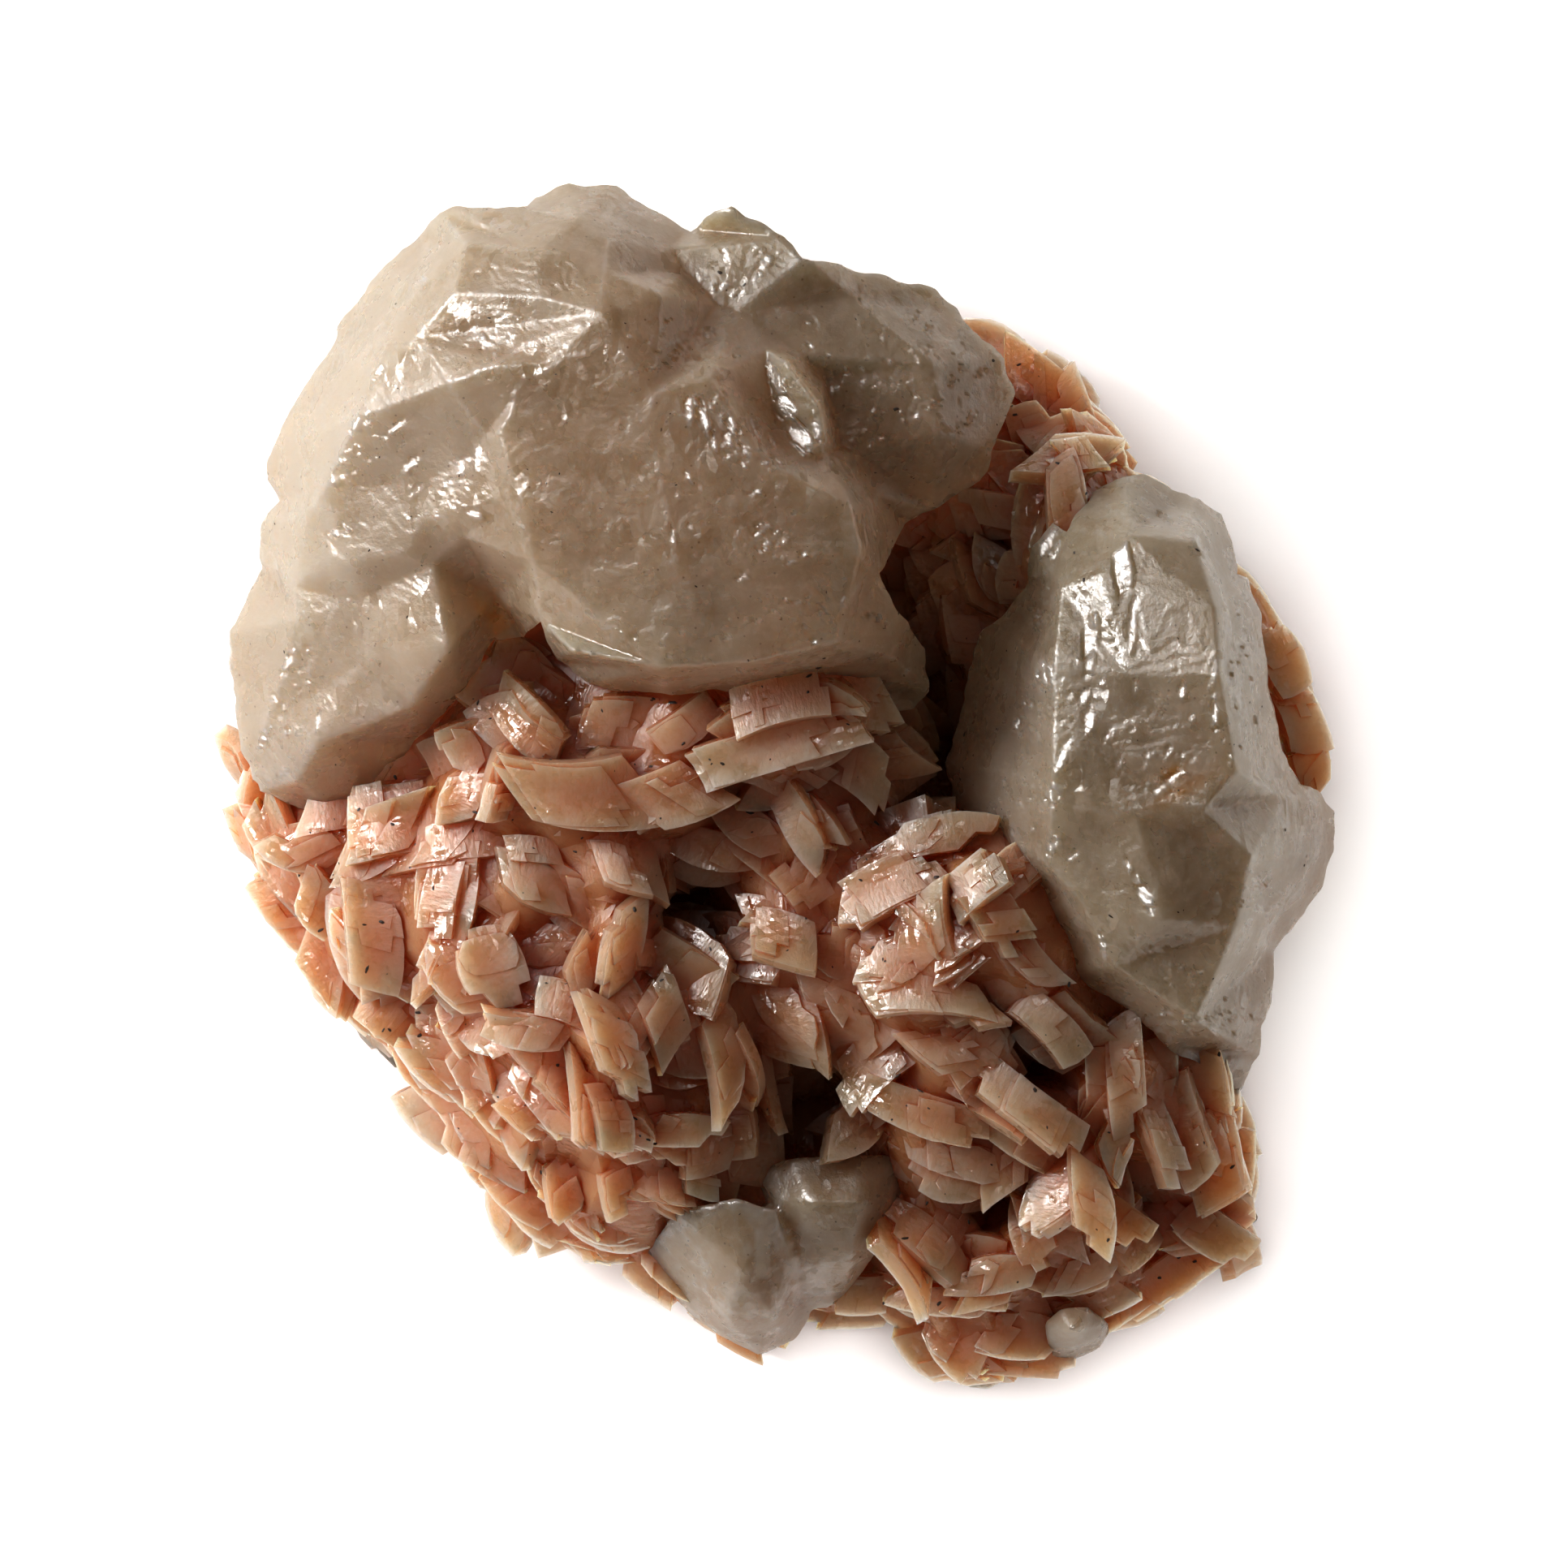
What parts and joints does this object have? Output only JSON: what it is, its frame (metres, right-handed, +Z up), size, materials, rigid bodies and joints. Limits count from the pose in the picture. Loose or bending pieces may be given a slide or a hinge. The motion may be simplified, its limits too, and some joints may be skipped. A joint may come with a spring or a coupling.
{
  "type": "dolomite cluster with calcite",
  "caption": "Loose mineral specimen: curved pink dolomite blades on a crust, with large pale flat-faced calcite crystals, cut off flat to rest on.",
  "frame": {"origin": "middle of the specimen's bounding box, at the flat cut base that it rests on", "axes": "+Z up, out of the crystal-covered side; +Y along the longest side, towards the large calcites; +X to the right of the picture"},
  "size_m": [0.0818, 0.0882, 0.0407],
  "materials": {
    "dolomite": "satin",
    "calcite": "satin"
  },
  "bodies": {
    "root": {"dolomite_crust": "dolomite", "upper_calcites": "calcite", "right_calcites": "calcite", "lower_calcites": "calcite", "small_calcite": "calcite"}
  },
  "joints": []
}
